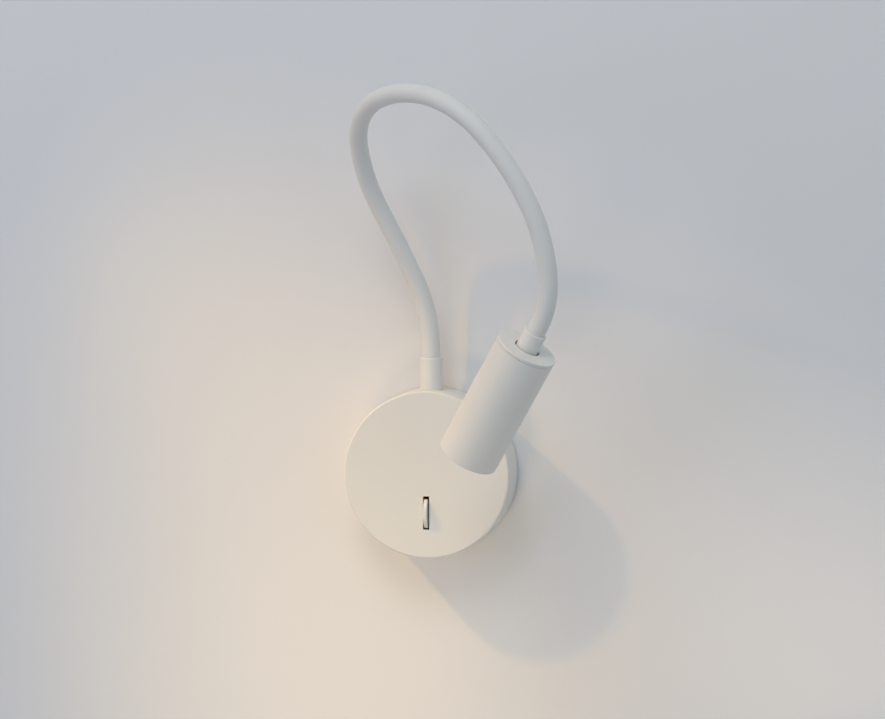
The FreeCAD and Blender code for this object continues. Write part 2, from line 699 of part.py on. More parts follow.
# ---- wires inside the base ----
def switch_wires():
    """Live wire from the block to the see-saw, and on from the contact to the driver."""
    centre_z, contact_z = blade_heights()
    turn_z = BLOCK_TOP + 2 * WIRE_BEND
    low_y, high_y = LOW_WIRE_Y, -WIRE_DEEP
    first = [V(POLE_XS[0], high_y, BLOCK_TOP - CLAMP_T), V(POLE_XS[0], high_y, turn_z),
             V(0, low_y, turn_z), V(0, low_y, centre_z + BLADE_T / 2)]
    under_z = contact_z - 2 * WIRE_BEND
    jog_z = (SWITCH_Z + HOUSING_L / 2 + DRIVER_LOW) / 2
    second = [V(0, low_y, contact_z - BLADE_T / 2), V(0, low_y, under_z),
              V(SWITCH_LIVE_X, low_y, under_z), V(SWITCH_LIVE_X, low_y, jog_z),
              V(SWITCH_LIVE_X, high_y, jog_z + WIRE_BEND), V(SWITCH_LIVE_X, high_y, DRIVER_LOW + DRIVER_T)]
    return [wire_run(first, WIRE_R, WIRE_BEND), wire_run(second, WIRE_R, WIRE_BEND_TIGHT)]


def neutral_wire():
    """Wire straight up from the block to the driver."""
    start = V(POLE_XS[1], -WIRE_DEEP, BLOCK_TOP - CLAMP_T)
    return rod(WIRE_R, DRIVER_LOW + DRIVER_T - start.z, start)


def earth_wire():
    """Wire from the block over to the tag's tail."""
    turn_z = EARTH_Z + TAG_TAIL - WIRE_R
    points = [V(POLE_XS[2], -WIRE_DEEP, BLOCK_TOP - CLAMP_T), V(POLE_XS[2], -WIRE_DEEP, turn_z),
              V(EARTH_X, -WIRE_DEEP, turn_z), V(EARTH_X, -PLATE_T - TAG_T, turn_z)]
    return wire_run(points, WIRE_R, WIRE_BEND)


def base_wires():
    """Insulated wires between the block, the switch, the driver and the earth tag."""
    return group(switch_wires() + [neutral_wire(), earth_wire()])


# ---- head, each piece along +Z from the back face ----
def disc_at(outer, inner, start, thickness):
    return pipe(outer, inner, thickness, V(0, 0, start))


def head_tube():
    """Outer tube, open at both ends."""
    start = CAP_T + CAP_SEAM
    tube = disc_at(HEAD_R, BORE_R, start, HEAD_L - start)
    return tube.makeChamfer(CAP_EDGE, round_edges(tube, HEAD_L, BORE_R + HEAD_WALL / 2))


def head_cap():
    """Back cap, its hole wider than the neck's ferrule, with a spigot into the tube."""
    plate = disc_at(HEAD_R, CAP_HOLE_R, 0, CAP_T)
    spigot = disc_at(SLUG_R, SLUG_R - CAP_SPIGOT_T, CAP_T, CAP_SPIGOT_L)
    return joined([plate.makeChamfer(CAP_EDGE, round_edges(plate, 0, BORE_R)), spigot])


def head_ferrule():
    """Collar on the neck's end, with a threaded stud through the flange."""
    start = -HEAD_FERRULE_SHOWN
    collar = rod(HEAD_FERRULE_R, FLANGE_AT - start, V(0, 0, start))
    collar = collar.makeFillet(FERRULE_EDGE_R, round_edges(collar, start, SLEEVE_R))
    socket = rod(SLEEVE_R + FERRULE_FIT, SLEEVE_SEAT - start, V(0, 0, start))
    stud = rod(STUD_R, STUD_L, V(0, 0, FLANGE_AT))
    lead_bore = rod(NIPPLE_BORE_R, FLANGE_AT + STUD_L, ORIGIN)
    return joined([collar, stud]).cut([socket, lead_bore])


def flange_screw_spots(start):
    return [V(side * FLANGE_SCREW_RING, 0, start) for side in (-1, 1)]


def head_flange():
    """Steel disc across the tube that carries the neck's end."""
    disc = disc_at(SLUG_R, STUD_R + THREAD_FIT, FLANGE_AT, FLANGE_T)
    holes = [rod(FLANGE_SCREW_R + THREAD_FIT, FLANGE_T, spot) for spot in flange_screw_spots(FLANGE_AT)]
    return disc.cut(holes)


def flange_screws():
    """Two small screws from the flange into the heat sink's wall."""
    return group([rod(FLANGE_SCREW_R, FLANGE_SCREW_L, spot) for spot in flange_screw_spots(FLANGE_AT)])


def head_nut():
    start = V(0, 0, FLANGE_AT + FLANGE_T)
    return nut(HEAD_NUT_FLATS, HEAD_NUT_T, STUD_R + THREAD_FIT, start)


def heat_sink():
    """Aluminium cup, open to the back, with the LED board on its closed front."""
    cup = rod(SLUG_R, SINK_L, V(0, 0, SINK_AT))
    room = rod(SINK_BORE_R, SINK_L - SINK_FRONT_T, V(0, 0, SINK_AT))
    screw_l = FLANGE_SCREW_L - FLANGE_T
    cuts = [rod(FLANGE_SCREW_R + THREAD_FIT, screw_l, spot) for spot in flange_screw_spots(SINK_AT)]
    cuts += [rod(LED_WIRE_HOLE_R, SINK_FRONT_T, spot) for spot in led_wire_spots(SINK_END - SINK_FRONT_T)]
    return cup.cut([room] + cuts)


def led_wire_spots(start):
    return [V(0, side * LED_WIRE_OFF, start) for side in (-1, 1)]


def led_board():
    board = rod(LED_BOARD_R, LED_BOARD_T, V(0, 0, SINK_END))
    return board.cut([rod(LED_WIRE_HOLE_R, LED_BOARD_T, spot) for spot in led_wire_spots(SINK_END)])


def led_chip():
    return rod(LED_R, LED_T, V(0, 0, LED_AT))


def led_wires():
    """Two thin wires from the lead's end out to the board's edge."""
    wires = []
    for side in (-1, 1):
        near, far = side * LED_WIRE_NEAR, side * LED_WIRE_OFF
        bend_at = LEAD_END + 2 * LED_WIRE_OUT
        points = [V(0, near, LEAD_END), V(0, near, bend_at - LED_WIRE_OUT),
                  V(0, far, bend_at + LED_WIRE_OUT), V(0, far, LED_AT)]
        wires.append(wire_run(points, LED_WIRE_R, LED_WIRE_OUT))
    return group(wires)


def reflector():
    """White cone round the LED, flared out to the lens."""
    low, high = LED_AT + REFLECTOR_GAP, LENS_AT - LENS_GAP
    height = high - low
    outer = Part.makeCone(LED_R + 2 * REFLECTOR_T, SLUG_R, height, V(0, 0, low))
    inner = Part.makeCone(LED_R + REFLECTOR_T, SLUG_R - REFLECTOR_T, height, V(0, 0, low))
    return outer.cut(inner)


def lens():
    return rod(SLUG_R, LENS_T, V(0, 0, LENS_AT))


def front_ring():
    """Ring that keeps the lens in."""
    return disc_at(SLUG_R, SLUG_R - RING_W, RING_AT, RING_T)


def in_head(shape):
    shape.Placement = head_frame().multiply(shape.Placement)
    return shape


def base_parts():
    return {
        "wall_plate": wall_plate(),
        "base_cover": base_cover(),
        "cover_screw": cover_screw(),
        "cable_grommet": cable_grommet(),
        "terminal_block": terminal_block(),
        "terminal_clamps": terminal_clamps(),
        "terminal_screws": terminal_screws(),
        "earth_tag": earth_tag(),
        "earth_screw": earth_screw(),
        "driver_case": driver_case(),
        "driver_lid": driver_lid(),
        "driver_board": driver_board(),
        "driver_coil": driver_coil(),
        "driver_capacitor": driver_capacitor(),
        "base_wires": base_wires(),
    }


def switch_parts():
    return {
        "switch_housing": switch_housing(),
        "switch_blades": switch_blades(),
        "switch_pin": switch_pin(),
        "rocker": rocker(),
        "rocker_spring": rocker_spring(),
        "rocker_plunger": rocker_plunger(),
        "switch_contact": switch_contact(),
    }


def neck_parts():
    parts = {
        "neck_nipple": neck_nipple(),
        "neck_washer": neck_washer(),
        "neck_nut": neck_nut(),
        "foot_ferrule": foot_ferrule(),
        "foot_sleeve": foot_stretch(SLEEVE_R, SLEEVE_BORE_R),
        "foot_core": foot_stretch(CORE_R, CORE_BORE_R),
        "lamp_lead": lamp_lead(),
    }
    for number in range(LINKS):
        parts[f"neck_sleeve_{number + 1}"] = link(SLEEVE_R, SLEEVE_BORE_R, number)
        parts[f"neck_core_{number + 1}"] = link(CORE_R, CORE_BORE_R, number)
    return parts


def head_parts():
    parts = {
        "head_tube": head_tube(),
        "head_cap": head_cap(),
        "head_ferrule": head_ferrule(),
        "head_flange": head_flange(),
        "flange_screws": flange_screws(),
        "head_nut": head_nut(),
        "heat_sink": heat_sink(),
        "led_board": led_board(),
        "led_chip": led_chip(),
        "led_wires": led_wires(),
        "reflector": reflector(),
        "lens": lens(),
        "front_ring": front_ring(),
    }
    placed = {name: in_head(shape) for name, shape in parts.items()}
    placed["head_sleeve"] = head_stretch(SLEEVE_R, SLEEVE_BORE_R)
    placed["head_core"] = head_stretch(CORE_R, CORE_BORE_R)
    return placed


def main():
    os.makedirs("parts", exist_ok=True)
    for parts in (base_parts(), switch_parts(), neck_parts(), head_parts()):
        for name, shape in parts.items():
            shape.exportStep(f"parts/{name}.step")
            print(f"{name}: {len(shape.Solids)} solid(s), {shape.Volume:.1f} mm3, valid {shape.isValid()}")


if __name__ == "__main__":
    main()
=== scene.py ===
import json
import logging
import math
from dataclasses import dataclass, field
from enum import Enum
from typing import Callable, Iterable, Sequence, Union

import bmesh
import bpy
from mathutils import Matrix, Vector
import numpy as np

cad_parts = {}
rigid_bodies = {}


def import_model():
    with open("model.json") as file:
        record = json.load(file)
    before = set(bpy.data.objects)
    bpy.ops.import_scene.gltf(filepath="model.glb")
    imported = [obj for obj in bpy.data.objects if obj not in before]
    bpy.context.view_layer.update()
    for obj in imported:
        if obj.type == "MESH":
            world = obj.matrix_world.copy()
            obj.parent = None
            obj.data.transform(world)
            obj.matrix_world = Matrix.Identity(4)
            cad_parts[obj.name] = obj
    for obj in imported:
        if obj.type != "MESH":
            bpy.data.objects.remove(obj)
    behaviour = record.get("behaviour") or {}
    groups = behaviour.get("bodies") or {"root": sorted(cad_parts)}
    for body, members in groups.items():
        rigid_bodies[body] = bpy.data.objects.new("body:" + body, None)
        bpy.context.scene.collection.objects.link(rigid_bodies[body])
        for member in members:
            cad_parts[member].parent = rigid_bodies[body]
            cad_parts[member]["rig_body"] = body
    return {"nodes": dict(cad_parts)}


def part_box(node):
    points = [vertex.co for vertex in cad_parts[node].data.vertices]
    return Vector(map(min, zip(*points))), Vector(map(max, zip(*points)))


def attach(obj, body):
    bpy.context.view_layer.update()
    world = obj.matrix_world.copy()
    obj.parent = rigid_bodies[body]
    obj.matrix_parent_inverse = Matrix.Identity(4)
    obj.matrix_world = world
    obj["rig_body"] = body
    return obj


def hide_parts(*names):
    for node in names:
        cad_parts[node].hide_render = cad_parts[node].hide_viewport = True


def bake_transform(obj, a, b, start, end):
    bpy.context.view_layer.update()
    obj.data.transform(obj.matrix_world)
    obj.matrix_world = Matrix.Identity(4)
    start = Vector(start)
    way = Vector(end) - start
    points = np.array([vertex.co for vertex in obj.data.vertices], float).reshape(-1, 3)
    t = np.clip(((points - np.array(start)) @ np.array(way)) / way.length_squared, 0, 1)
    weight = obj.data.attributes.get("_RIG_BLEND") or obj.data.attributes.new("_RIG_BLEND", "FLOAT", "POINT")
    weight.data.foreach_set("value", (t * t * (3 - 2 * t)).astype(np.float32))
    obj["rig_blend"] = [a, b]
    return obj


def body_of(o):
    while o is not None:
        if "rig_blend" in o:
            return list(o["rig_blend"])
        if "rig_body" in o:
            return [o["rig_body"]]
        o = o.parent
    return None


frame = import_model()

# A bedside wall reading lamp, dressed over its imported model. Metres. The wall is the
# plane y = 0, the lamp stands out of it towards -Y, and +Z is up.

log = logging.getLogger("reading_lamp")

MM = 0.001
Rgb = tuple[float, float, float]
Place = tuple[float, float, float]


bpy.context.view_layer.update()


# ---- shader graph ----
FEW, MORE = 2.0, 3.0                        # octaves of noise
SHARE, FIRST, SECOND, MIXED = 0, 6, 7, 2    # the Mix node's sockets for colours


class Value:
    """A number that a shader node gives, so that shader maths reads as Python."""

    def __init__(self, graph: "Graph", socket: bpy.types.NodeSocket) -> None:
        """Keeps the graph and the socket that gives the number."""
        self.graph = graph
        self.socket = socket

    def with_(self, operation: str, *terms: "Term") -> "Value":
        """A Math node on these terms.

        Args:
            operation: the Math node's operation.
            terms: its inputs in order.

        Returns:
            The node's result.
        """
        node = self.graph.node("ShaderNodeMath", {"operation": operation}, dict(enumerate(terms)))
        return Value(self.graph, node.outputs[0])

    def __add__(self, other: "Term") -> "Value":
        """Sum."""
        return self.with_("ADD", self, other)

    __radd__ = __add__

    def __sub__(self, other: "Term") -> "Value":
        """Difference."""
        return self.with_("SUBTRACT", self, other)

    def __rsub__(self, other: "Term") -> "Value":
        """Difference, this one taken off."""
        return self.with_("SUBTRACT", other, self)

    def __mul__(self, other: "Term") -> "Value":
        """Product."""
        return self.with_("MULTIPLY", self, other)

    __rmul__ = __mul__

    def __gt__(self, other: "Term") -> "Value":
        """One where this is greater, else nought."""
        return self.with_("GREATER_THAN", self, other)

    def __lt__(self, other: "Term") -> "Value":
        """One where this is less, else nought."""
        return self.with_("LESS_THAN", self, other)

    def sine(self) -> "Value":
        """Sine, of radians."""
        return self.with_("SINE", self)

    def clamped(self) -> "Value":
        """Kept between nought and one."""
        return self.with_("MINIMUM", self.with_("MAXIMUM", self, 0.0), 1.0)


Term = Union[Value, float]


class Graph:
    """The node tree of one material or world."""

    def __init__(self, owner: Union[bpy.types.Material, bpy.types.World]) -> None:
        """Empties the owner's tree and keeps it.

        Args:
            owner: the material or the world.
        """
        owner.use_nodes = True
        self.tree = owner.node_tree
        self.tree.nodes.clear()

    def node(self, kind: str, settings: dict | None = None,
             inputs: dict | None = None) -> bpy.types.Node:
        """Adds a node.

        Args:
            kind: the node's type name.
            settings: its options, set first.
            inputs: what its sockets hold, by name or number: a Value, a socket or plain numbers.

        Returns:
            The node.
        """
        node = self.tree.nodes.new(kind)
        for name, setting in (settings or {}).items():
            setattr(node, name, setting)
        for key, given in (inputs or {}).items():
            if isinstance(given, Value):
                self.tree.links.new(given.socket, node.inputs[key])
            elif isinstance(given, bpy.types.NodeSocket):
                self.tree.links.new(given, node.inputs[key])
            else:
                node.inputs[key].default_value = given
        return node

    def place(self) -> bpy.types.NodeSocket:
        """Where the surface point is at rest, in metres."""
        return self.node("ShaderNodeTexCoord").outputs["Object"]

    def axis(self, name: str) -> Value:
        """One coordinate of the surface point.

        Args:
            name: X, Y or Z.

        Returns:
            The coordinate in metres.
        """
        split = self.node("ShaderNodeSeparateXYZ", None, {0: self.place()})
        return Value(self, split.outputs[name])

    def stretched(self, scale: Sequence[float]) -> bpy.types.NodeSocket:
        """The surface point with each axis scaled, for grain that runs one way."""
        inputs = {"Vector": self.place(), "Scale": tuple(scale)}
        return self.node("ShaderNodeMapping", None, inputs).outputs[0]

    def noise(self, size: float, detail: float = FEW,
              place: bpy.types.NodeSocket | None = None) -> Value:
        """Soft noise about a half.

        Args:
            size: how far apart its blotches are, in metres.
            detail: finer noise on top, in octaves.
            place: another place to read it at.

        Returns:
            The noise, from nought to one.
        """
        inputs = {"Vector": place or self.place(), "Scale": 1.0 / size, "Detail": detail}
        return Value(self, self.node("ShaderNodeTexNoise", None, inputs).outputs[0])

    def cells(self, size: float, feature: str = "F1") -> Value:
        """Distance to the nearest of many scattered points.

        Args:
            size: how far apart the points are, in metres.
            feature: the Voronoi node's feature.

        Returns:
            The distance, in cells.
        """
        inputs = {"Vector": self.place(), "Scale": 1.0 / size}
        node = self.node("ShaderNodeTexVoronoi", {"feature": feature}, inputs)
        return Value(self, node.outputs["Distance"])

    def mixed(self, share: Term, first: "Colour", second: "Colour") -> bpy.types.NodeSocket:
        """Two colours mixed.

        Args:
            share: how much of the second.
            first: the colour at nought.
            second: the colour at one.

        Returns:
            The mixed colour's socket.
        """
        inputs = {SHARE: share, FIRST: self._paint(first), SECOND: self._paint(second)}
        return self.node("ShaderNodeMix", {"data_type": "RGBA"}, inputs).outputs[MIXED]

    @staticmethod
    def _paint(colour: "Colour") -> Union[bpy.types.NodeSocket, tuple[float, ...]]:
        """A colour as a socket takes it."""
        return colour if isinstance(colour, bpy.types.NodeSocket) else (*colour, 1.0)

    def bump(self, height: Value, depth: float) -> bpy.types.NodeSocket:
        """Relief on the surface.

        Args:
            height: the relief, from nought to one.
            depth: how high one is, in metres.

        Returns:
            The new normal.
        """
        inputs = {"Height": height, "Distance": depth, "Strength": 1.0}
        return self.node("ShaderNodeBump", None, inputs).outputs[0]

    def output(self, shader: bpy.types.NodeSocket, kind: str = "ShaderNodeOutputMaterial") -> None:
        """Sends the shader to the material's or the world's output."""
        self.node(kind, None, {"Surface": shader})


Colour = Union[Rgb, bpy.types.NodeSocket]


# ---- finishes ----
class Grain(Enum):
    """Fine relief of a finish."""

    PEEL = "powder coat"
    TOOTH = "moulded or soft skin"
    SPANGLE = "zinc crystals"
    DRAWN = "fine lines left by drawing or turning"


DIMPLES, WAVES, WAVE_SIZE = 0.6, 0.8, 4.0         # powder coat: small dimples on longer waves
CRYSTALS, SPECKS, SPECK_SIZE = 0.7, 0.3, 1 / 3    # zinc: crystals with specks in them
LINES_RUN_UP = (1.0, 1.0, 0.04)                   # drawn lines are long along Z


@dataclass(frozen=True)
class Finish:
    """A surface: its colour, gloss and grain, lighter and darker from place to place.

    Attributes:
        title: the material's name.
        slot: the record's slot that it stands for; not used.
        colour: its plain colour.
        roughness: how matt it is.
        metallic: one for bare metal.
        grain: kind of fine relief.
        grain_size: how far apart the relief's grains are.
        grain_depth: how high they are.
        mottle: how much lighter and darker it is from place to place.
        mottle_size: how large those places are.
        gloss_change: how much the roughness changes with them.
        constants: sockets that are the same all over.
    """

    title: str
    slot: str
    colour: Rgb
    roughness: float
    metallic: float = 0.0
    grain: Grain = Grain.TOOTH
    grain_size: float = 0.35 * MM
    grain_depth: float = 0.004 * MM
    mottle: float = 0.04
    mottle_size: float = 14.0 * MM
    gloss_change: float = 0.08
    constants: tuple[tuple[str, float], ...] = ()

    def shade(self, graph: Graph) -> Colour:
        """The colour over the surface.

        Args:
            graph: the material's graph.

        Returns:
            The colour.
        """
        dark = tuple(channel * (1.0 - self.mottle) for channel in self.colour)
        light = tuple(min(1.0, channel * (1.0 + self.mottle / 2)) for channel in self.colour)
        return graph.mixed(graph.noise(self.mottle_size, MORE), dark, light)

    def relief(self, graph: Graph) -> bpy.types.NodeSocket:
        """The fine relief as a normal.

        Args:
            graph: the material's graph.

        Returns:
            The normal's socket.
        """
        if self.grain is Grain.PEEL:
            dimples = graph.cells(self.grain_size, "SMOOTH_F1")
            height = dimples * DIMPLES + graph.noise(self.grain_size * WAVE_SIZE) * WAVES
        elif self.grain is Grain.SPANGLE:
            specks = graph.noise(self.grain_size * SPECK_SIZE)
            height = graph.cells(self.grain_size) * CRYSTALS + specks * SPECKS
        elif self.grain is Grain.DRAWN:
            height = graph.noise(self.grain_size, MORE, graph.stretched(LINES_RUN_UP))
        else:
            height = graph.noise(self.grain_size, MORE)
        return graph.bump(height, self.grain_depth)

    def material(self) -> bpy.types.Material:
        """The finish as a material, made once.

        Returns:
            The material.
        """
        made = bpy.data.materials.get(self.title)
        if made is not None:
            return made
        made = bpy.data.materials.new(self.title)
        graph = Graph(made)
        roughness = graph.noise(self.mottle_size / 2) * self.gloss_change + (
            self.roughness - self.gloss_change / 2)
        inputs: dict = {
            "Base Color": self.shade(graph),
            "Roughness": roughness.clamped(),
            "Metallic": self.metallic,
            "Normal": self.relief(graph),
        }
        inputs.update(dict(self.constants))
        graph.output(graph.node("ShaderNodeBsdfPrincipled", None, inputs).outputs[0])
        return made


@dataclass(frozen=True)
class CodedWires(Finish):
    """Insulated wires: brown for live, blue for neutral, green with yellow for earth.

    Attributes:
        neutral: the neutral wire's colour; the live one has the finish's own.
        green: the earth wire's colour.
        yellow: its stripe's colour.
        stripe_pitch: between stripes.
        stripe_cut: where the stripes' wave is above this, it is yellow.
        neutral_x: where the neutral wire runs up.
        half_gap: half the distance to its neighbours.
    """

    neutral: Rgb = (0.02, 0.10, 0.42)
    green: Rgb = (0.03, 0.22, 0.06)
    yellow: Rgb = (0.72, 0.58, 0.05)
    stripe_pitch: float = 5.0 * MM
    stripe_cut: float = 0.2
    neutral_x: float = 15.5 * MM
    half_gap: float = 3.0 * MM

    def shade(self, graph: Graph) -> Colour:
        """The colour of each wire by where it runs.

        Args:
            graph: the material's graph.

        Returns:
            The colour.
        """
        across, up = graph.axis("X"), graph.axis("Z")
        stripe = ((across + up) * (math.tau / self.stripe_pitch)).sine() > self.stripe_cut
        earth = graph.mixed(stripe, self.green, self.yellow)
        others = graph.mixed(across > self.neutral_x - self.half_gap, self.colour, self.neutral)
        return graph.mixed(across > self.neutral_x + self.half_gap, others, earth)


@dataclass(frozen=True)
class Printed(Finish):
    """Circuit board: solder mask with copper tracks under it.

    Attributes:
        track: the mask's colour over a track.
        pitch: between tracks.
        wander: how far a track wanders, and over what length.
        track_cut: where the tracks' wave is above this, there is copper.
    """

    track: Rgb = (0.05, 0.24, 0.10)
    pitch: float = 3.2 * MM
    wander: float = 6.0 * MM
    track_cut: float = 0.55

    def shade(self, graph: Graph) -> Colour:
        """The mask, lighter over its tracks.

        Args:
            graph: the material's graph.

        Returns:
            The colour.
        """
        shift = graph.noise(self.wander, 0.0) * self.wander
        line = ((graph.axis("X") + shift) * (math.tau / self.pitch)).sine() > self.track_cut
        return graph.mixed(line, self.colour, self.track)


PAINT = Finish("white powder coat", "painted_shell", (0.79, 0.785, 0.76), roughness=0.50,
               grain=Grain.PEEL, grain_size=0.5 * MM, grain_depth=0.012 * MM, mottle=0.02,
               mottle_size=30 * MM, constants=(("Specular IOR Level", 0.45),))
SLEEVE = Finish("white soft sleeve", "soft_sleeve", (0.755, 0.76, 0.755), roughness=0.58,
                grain_size=0.25 * MM, grain_depth=0.003 * MM, mottle=0.03, mottle_size=22 * MM,
                gloss_change=0.12,
                constants=(("Subsurface Weight", 0.12), ("Subsurface Scale", 1.0 * MM),
                           ("Sheen Weight", 0.12), ("Sheen Roughness", 0.5)))
FITTING = Finish("white fitting", "white_fitting", (0.79, 0.785, 0.765), roughness=0.44,
                 grain=Grain.PEEL, grain_size=0.4 * MM, grain_depth=0.006 * MM, mottle=0.02)
SWITCH = Finish("white switch lever", "switch_white", (0.80, 0.795, 0.77), roughness=0.34,
                grain_size=0.3 * MM, mottle=0.02, mottle_size=5 * MM)
ZINC = Finish("zinc-plated steel", "zinc_steel", (0.60, 0.61, 0.62), roughness=0.36, metallic=1.0,
              grain=Grain.SPANGLE, grain_size=1.6 * MM, grain_depth=0.01 * MM, mottle=0.12,
              mottle_size=7 * MM, gloss_change=0.16)
CORE = Finish("steel core", "steel_core", (0.50, 0.50, 0.51), roughness=0.34, metallic=1.0,
              grain=Grain.DRAWN, grain_size=0.5 * MM, mottle=0.08, mottle_size=5 * MM)
BRASS = Finish("brass", "brass", (0.76, 0.55, 0.24), roughness=0.30, metallic=1.0,
               grain=Grain.DRAWN, grain_size=0.5 * MM, grain_depth=0.006 * MM, mottle=0.10,
               mottle_size=4 * MM)
ALUMINIUM = Finish("turned aluminium", "aluminium", (0.74, 0.75, 0.76), roughness=0.34,
                   metallic=1.0, grain=Grain.DRAWN, grain_size=0.6 * MM, grain_depth=0.006 * MM,
                   mottle=0.06)
RUBBER = Finish("black rubber", "rubber", (0.035, 0.035, 0.037), roughness=0.72, mottle=0.25,
                mottle_size=4 * MM)
PLASTIC = Finish("white plastic", "white_plastic", (0.72, 0.72, 0.69), roughness=0.46, mottle=0.04)
BLACK = Finish("black plastic", "black_plastic", (0.02, 0.02, 0.02), roughness=0.42, mottle=0.2,
               mottle_size=4 * MM)
CLEAR = Finish("milky terminal plastic", "clear_block", (0.66, 0.68, 0.66), roughness=0.30,
               mottle=0.05, constants=(("Subsurface Weight", 0.2), ("Subsurface Scale", 2.0 * MM)))
BOARD = Printed("circuit board", "board", (0.02, 0.15, 0.06), roughness=0.32)
COMPONENT = Finish("dark component", "component", (0.035, 0.035, 0.04), roughness=0.42,
                   mottle=0.25, mottle_size=3 * MM)
TAPE = Finish("amber winding tape", "component", (0.52, 0.30, 0.03), roughness=0.24,
              grain_depth=0.01 * MM, mottle=0.15, mottle_size=3 * MM,
              constants=(("Coat Weight", 0.5), ("Coat Roughness", 0.12)))
WIRES = CodedWires("coded wires", "wire_sheath", (0.11, 0.045, 0.02), roughness=0.40)
LEAD = Finish("dark lead sheath", "lead_sheath", (0.022, 0.022, 0.024), roughness=0.50, mottle=0.2,
              mottle_size=6 * MM)
LED = Finish("led phosphor", "led_yellow", (0.84, 0.62, 0.12), roughness=0.40, mottle=0.08,
             mottle_size=1.2 * MM)
LED_BOARD = Finish("white led board", "led_board_white", (0.80, 0.80, 0.79), roughness=0.40,
                   mottle=0.03)
LENS = Finish("frosted lens", "frosted_lens", (0.80, 0.80, 0.78), roughness=0.30,
              grain_size=0.5 * MM, grain_depth=0.015 * MM, mottle=0.03, mottle_size=6 * MM,
              constants=(("Subsurface Weight", 0.35), ("Subsurface Scale", 2.5 * MM),
                         ("Coat Weight", 0.2), ("Coat Roughness", 0.2)))


# ---- making meshes ----
CRISP_DEG = 40.0     # edges of a made mesh that turn by more stay crisp
WELD = 0.001 * MM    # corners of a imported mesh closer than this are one
FLAT_DEG = 0.5       # packed faces that turn by less are one face
EASED_DEG = 28.0     # edges that turn by more are eased
EASE_STEPS = 2       # faces across an eased edge
EVEN_WEIGHT = 90     # how far large faces keep their own shading


def around(sides: int) -> list[tuple[float, float]]:
    """Even places round a circle of radius one."""
    return [(math.cos(math.tau * i / sides), math.sin(math.tau * i / sides)) for i in range(sides)]


def bands(rings: int, sides: int, looped: bool = False) -> list[Sequence[int]]:
    """Faces between rings of points, each to the next.

    Args:
        rings: how many rings.
        sides: points in each.
        looped: whether the last ring also joins the first.

    Returns:
        The faces, by corner number.
    """
    pairs = list(zip(range(rings - 1), range(1, rings))) + ([(rings - 1, 0)] if looped else [])
    return [(a * sides + i, a * sides + (i + 1) % sides, b * sides + (i + 1) % sides, b * sides + i)
            for a, b in pairs for i in range(sides)]


def closed(rings: int, sides: int) -> list[Sequence[int]]:
    """Faces between rings of points, and over the first and the last ring."""
    ends = [tuple(range(sides)), tuple(range((rings - 1) * sides, rings * sides))]
    return bands(rings, sides) + ends


def made_of(name: str, points: Iterable[Vector], faces: Iterable[Sequence[int]],
            finish: Finish) -> bpy.types.Object:
    """A finished mesh object.

    Args:
        name: the piece's name.
        points: its corners.
        faces: its faces, by corner number.
        finish: what it is made of.

    Returns:
        The object, linked to the scene.
    """
    mesh = bpy.data.meshes.new(name)
    mesh.from_pydata([tuple(point) for point in points], [], [tuple(face) for face in faces])
    mesh.validate()
    shell = bmesh.new()
    shell.from_mesh(mesh)
    bmesh.ops.recalc_face_normals(shell, faces=shell.faces)
    shell.to_mesh(mesh)
    shell.free()
    mesh.shade_smooth()
    mesh.set_sharp_from_angle(angle=math.radians(CRISP_DEG))
    piece = bpy.data.objects.new(name, mesh)
    bpy.context.scene.collection.objects.link(piece)
    mesh.materials.append(finish.material())
    log.info("%s made, in %s", name, finish.title)
    return piece


def dress(node: str, finish: Finish) -> None:
    """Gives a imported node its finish.

    Args:
        node: the node's name.
        finish: what it is made of.
    """
    piece = frame["nodes"][node]
    if not piece.data.materials:
        piece.data.materials.append(finish.material())
    for holder in piece.material_slots:
        holder.material = finish.material()
    log.info("%s dressed, in %s", node, finish.title)


def eased(node: str, finish: Finish, width: float) -> None:
    """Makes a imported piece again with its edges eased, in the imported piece's place.

    Args:
        node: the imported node's name.
        finish: what it is made of.
        width: how far each edge is eased.
    """
    packed = frame["nodes"][node]
    mesh = packed.data.copy()
    mesh.name = f"{node}_eased"
    shell = bmesh.new()
    shell.from_mesh(mesh)
    bmesh.ops.remove_doubles(shell, verts=shell.verts, dist=WELD)
    bmesh.ops.dissolve_limit(shell, angle_limit=math.radians(FLAT_DEG), verts=shell.verts,
                             edges=shell.edges)
    shell.to_mesh(mesh)
    shell.free()
    mesh.materials.clear()
    mesh.materials.append(finish.material())
    mesh.shade_smooth()
    piece = bpy.data.objects.new(mesh.name, mesh)
    bpy.context.scene.collection.objects.link(piece)
    edge = piece.modifiers.new("eased edges", "BEVEL")
    edge.width, edge.segments = width, EASE_STEPS
    edge.limit_method, edge.angle_limit = "ANGLE", math.radians(EASED_DEG)
    piece.modifiers.new("even shading", "WEIGHTED_NORMAL").weight = EVEN_WEIGHT
    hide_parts(node)
    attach(piece, body_of(packed)[0])
    log.info("%s eased, in %s", node, finish.title)


def drawn(name: str, path: Sequence[Vector], radius: float, finish: Finish, body: str,
          sides: int) -> bpy.types.Object:
    """Round wire along a path, its ends closed.

    Args:
        name: the piece's name.
        path: points of its middle line.
        radius: of the wire.
        finish: what it is made of.
        body: what it rides on.
        sides: faces round it.

    Returns:
        The piece.
    """
    across = (path[1] - path[0]).orthogonal().normalized()
    points: list[Vector] = []
    for number, here in enumerate(path):
        before, after = path[max(0, number - 1)], path[min(len(path) - 1, number + 1)]
        along = (after - before).normalized()
        across = (across - along * across.dot(along)).normalized()
        beside = along.cross(across)
        points += [here + (across * c + beside * s) * radius for c, s in around(sides)]
    piece = made_of(name, points, closed(len(path), sides), finish)
    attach(piece, body)
    return piece


